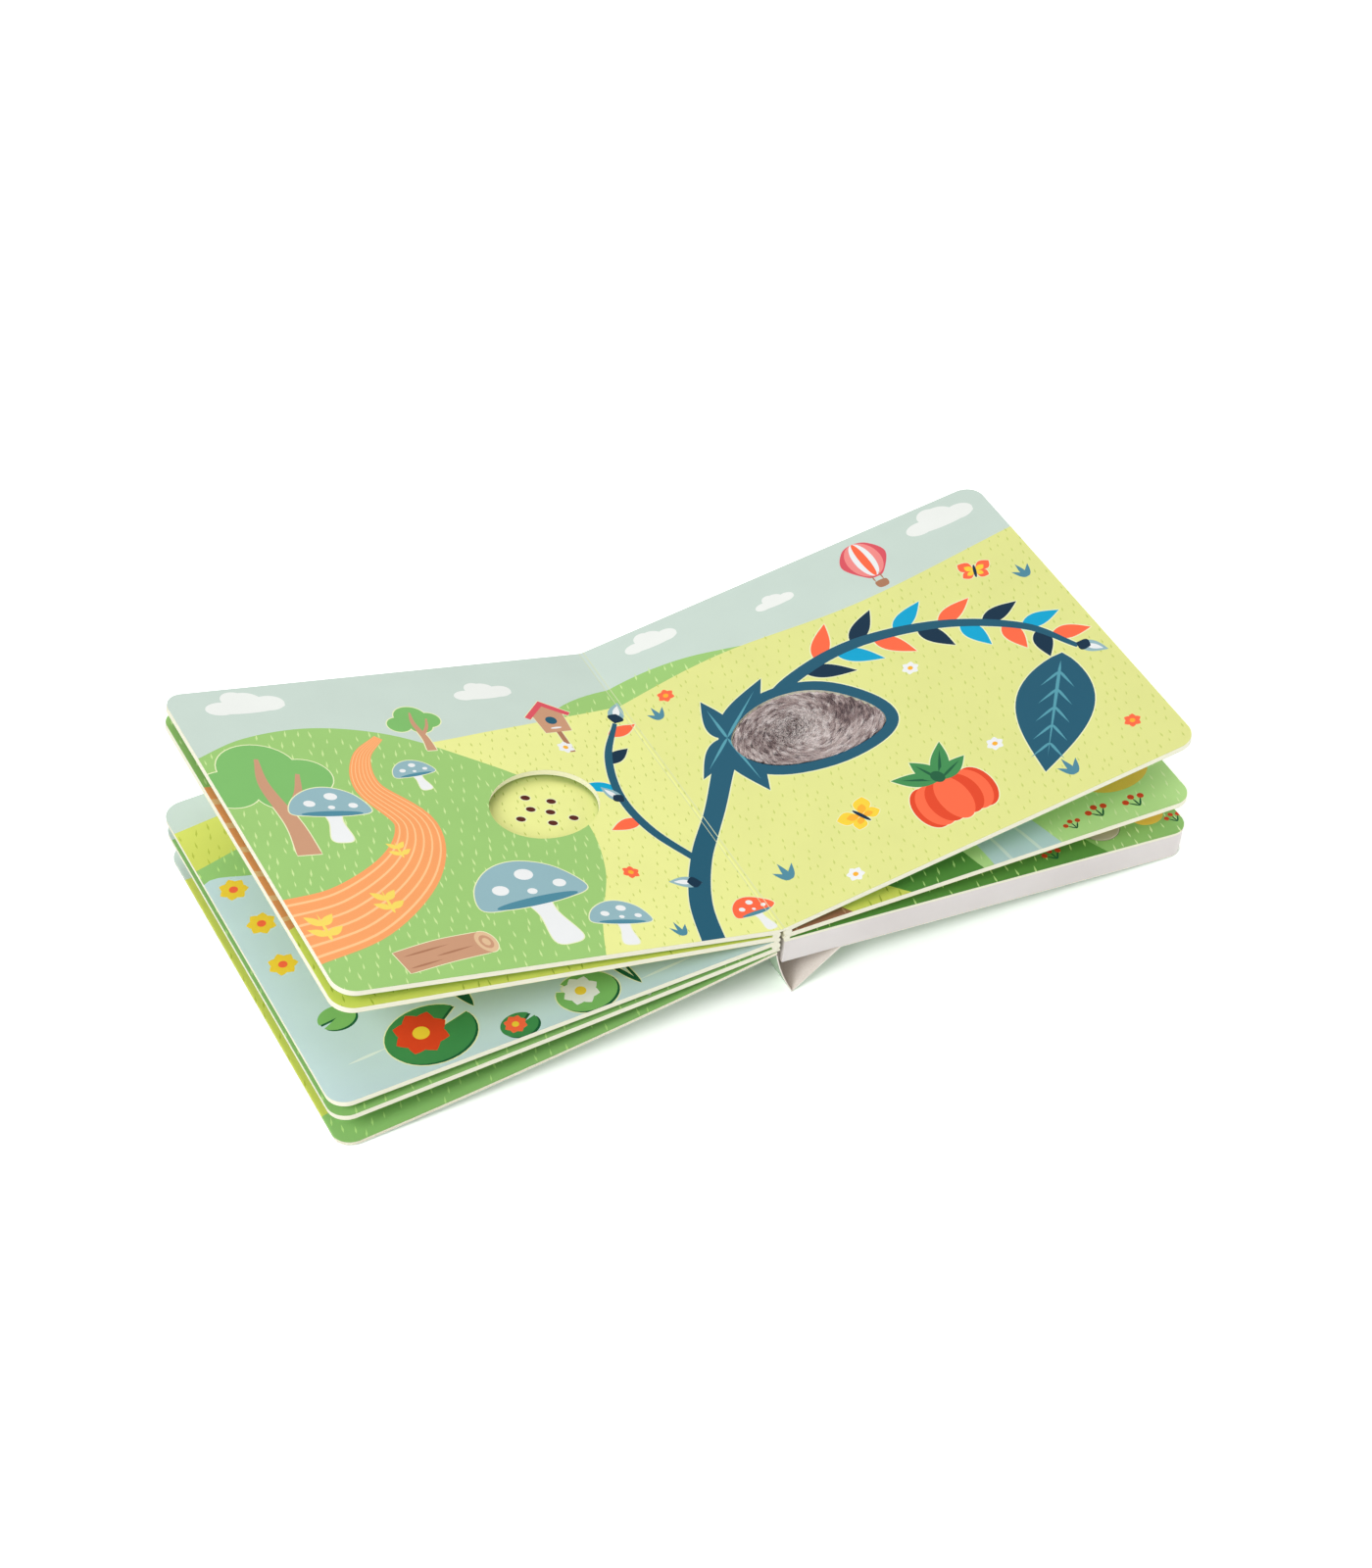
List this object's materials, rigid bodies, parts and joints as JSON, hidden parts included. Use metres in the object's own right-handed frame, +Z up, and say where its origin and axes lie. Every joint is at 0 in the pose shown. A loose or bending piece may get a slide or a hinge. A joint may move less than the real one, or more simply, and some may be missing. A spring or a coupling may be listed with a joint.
{
  "type": "tactile book",
  "caption": "Children's board touch-and-feel book standing open, leaves fanned, with a fur window, a finger hole and a sound block behind the last page.",
  "frame": {"origin": "On the table under the middle of the open book, at the bottom centre of its bounding box; the gutter between the open pages is 39 mm above it.", "axes": "+X crosses the open spread towards the sound block's fore-edge, so the front cover is at -X; +Y runs along the spine towards the head of the pages; +Z is up from the table."},
  "size_m": [0.4004, 0.1934, 0.0879],
  "materials": {
    "printed_board": "satin",
    "plush_fur": "rough",
    "cover_board": "satin",
    "cover_card": "satin",
    "white_plastic": "satin",
    "button_plastic": "satin",
    "switch_plastic": "satin",
    "plated_steel": "satin",
    "steel_basket": "satin",
    "magnet_steel": "satin",
    "paper_cone": "matte",
    "circuit_laminate": "satin",
    "black_resin": "gloss",
    "cell_steel": "satin"
  },
  "bodies": {
    "book": {"board_pages": "printed_board", "fur_patch": "plush_fur", "wrap_cover": "cover_card", "block_case": "white_plastic", "battery_door": "white_plastic", "door_screw": "plated_steel", "speaker_frame": "steel_basket", "speaker_magnet": "magnet_steel", "speaker_cone": "paper_cone", "circuit_board": "circuit_laminate", "sound_chip": "black_resin", "snap_dome": "steel_basket", "switch_body": "black_resin", "contact_spine_end": "plated_steel", "contact_screw_end": "plated_steel", "battery_cell_1": "cell_steel", "battery_cell_2": "cell_steel", "battery_cell_3": "cell_steel"},
    "front_cover": {"front_cover": "cover_board"},
    "button": {"sound_button": "button_plastic"},
    "switch": {"switch_knob": "switch_plastic"}
  },
  "joints": [
    {"name": "front_cover_hinge", "type": "hinge", "parent": "book", "child": "front_cover", "pos_m": [-0.0027, 0, 0.02587], "axis": [0, 1, 0], "range_deg": [-45, 3.8]},
    {"name": "sound_button_press", "type": "slide", "parent": "book", "child": "button", "axis": [-0.0965, 0, -0.9953], "range_m": [0, 0.0008], "stiffness_N_per_m": 800, "springref_m": -0.0008},
    {"name": "switch_slide", "type": "slide", "parent": "book", "child": "switch", "axis": [0.9953, 0, -0.0965], "range_m": [0, 0.003]}
  ]
}
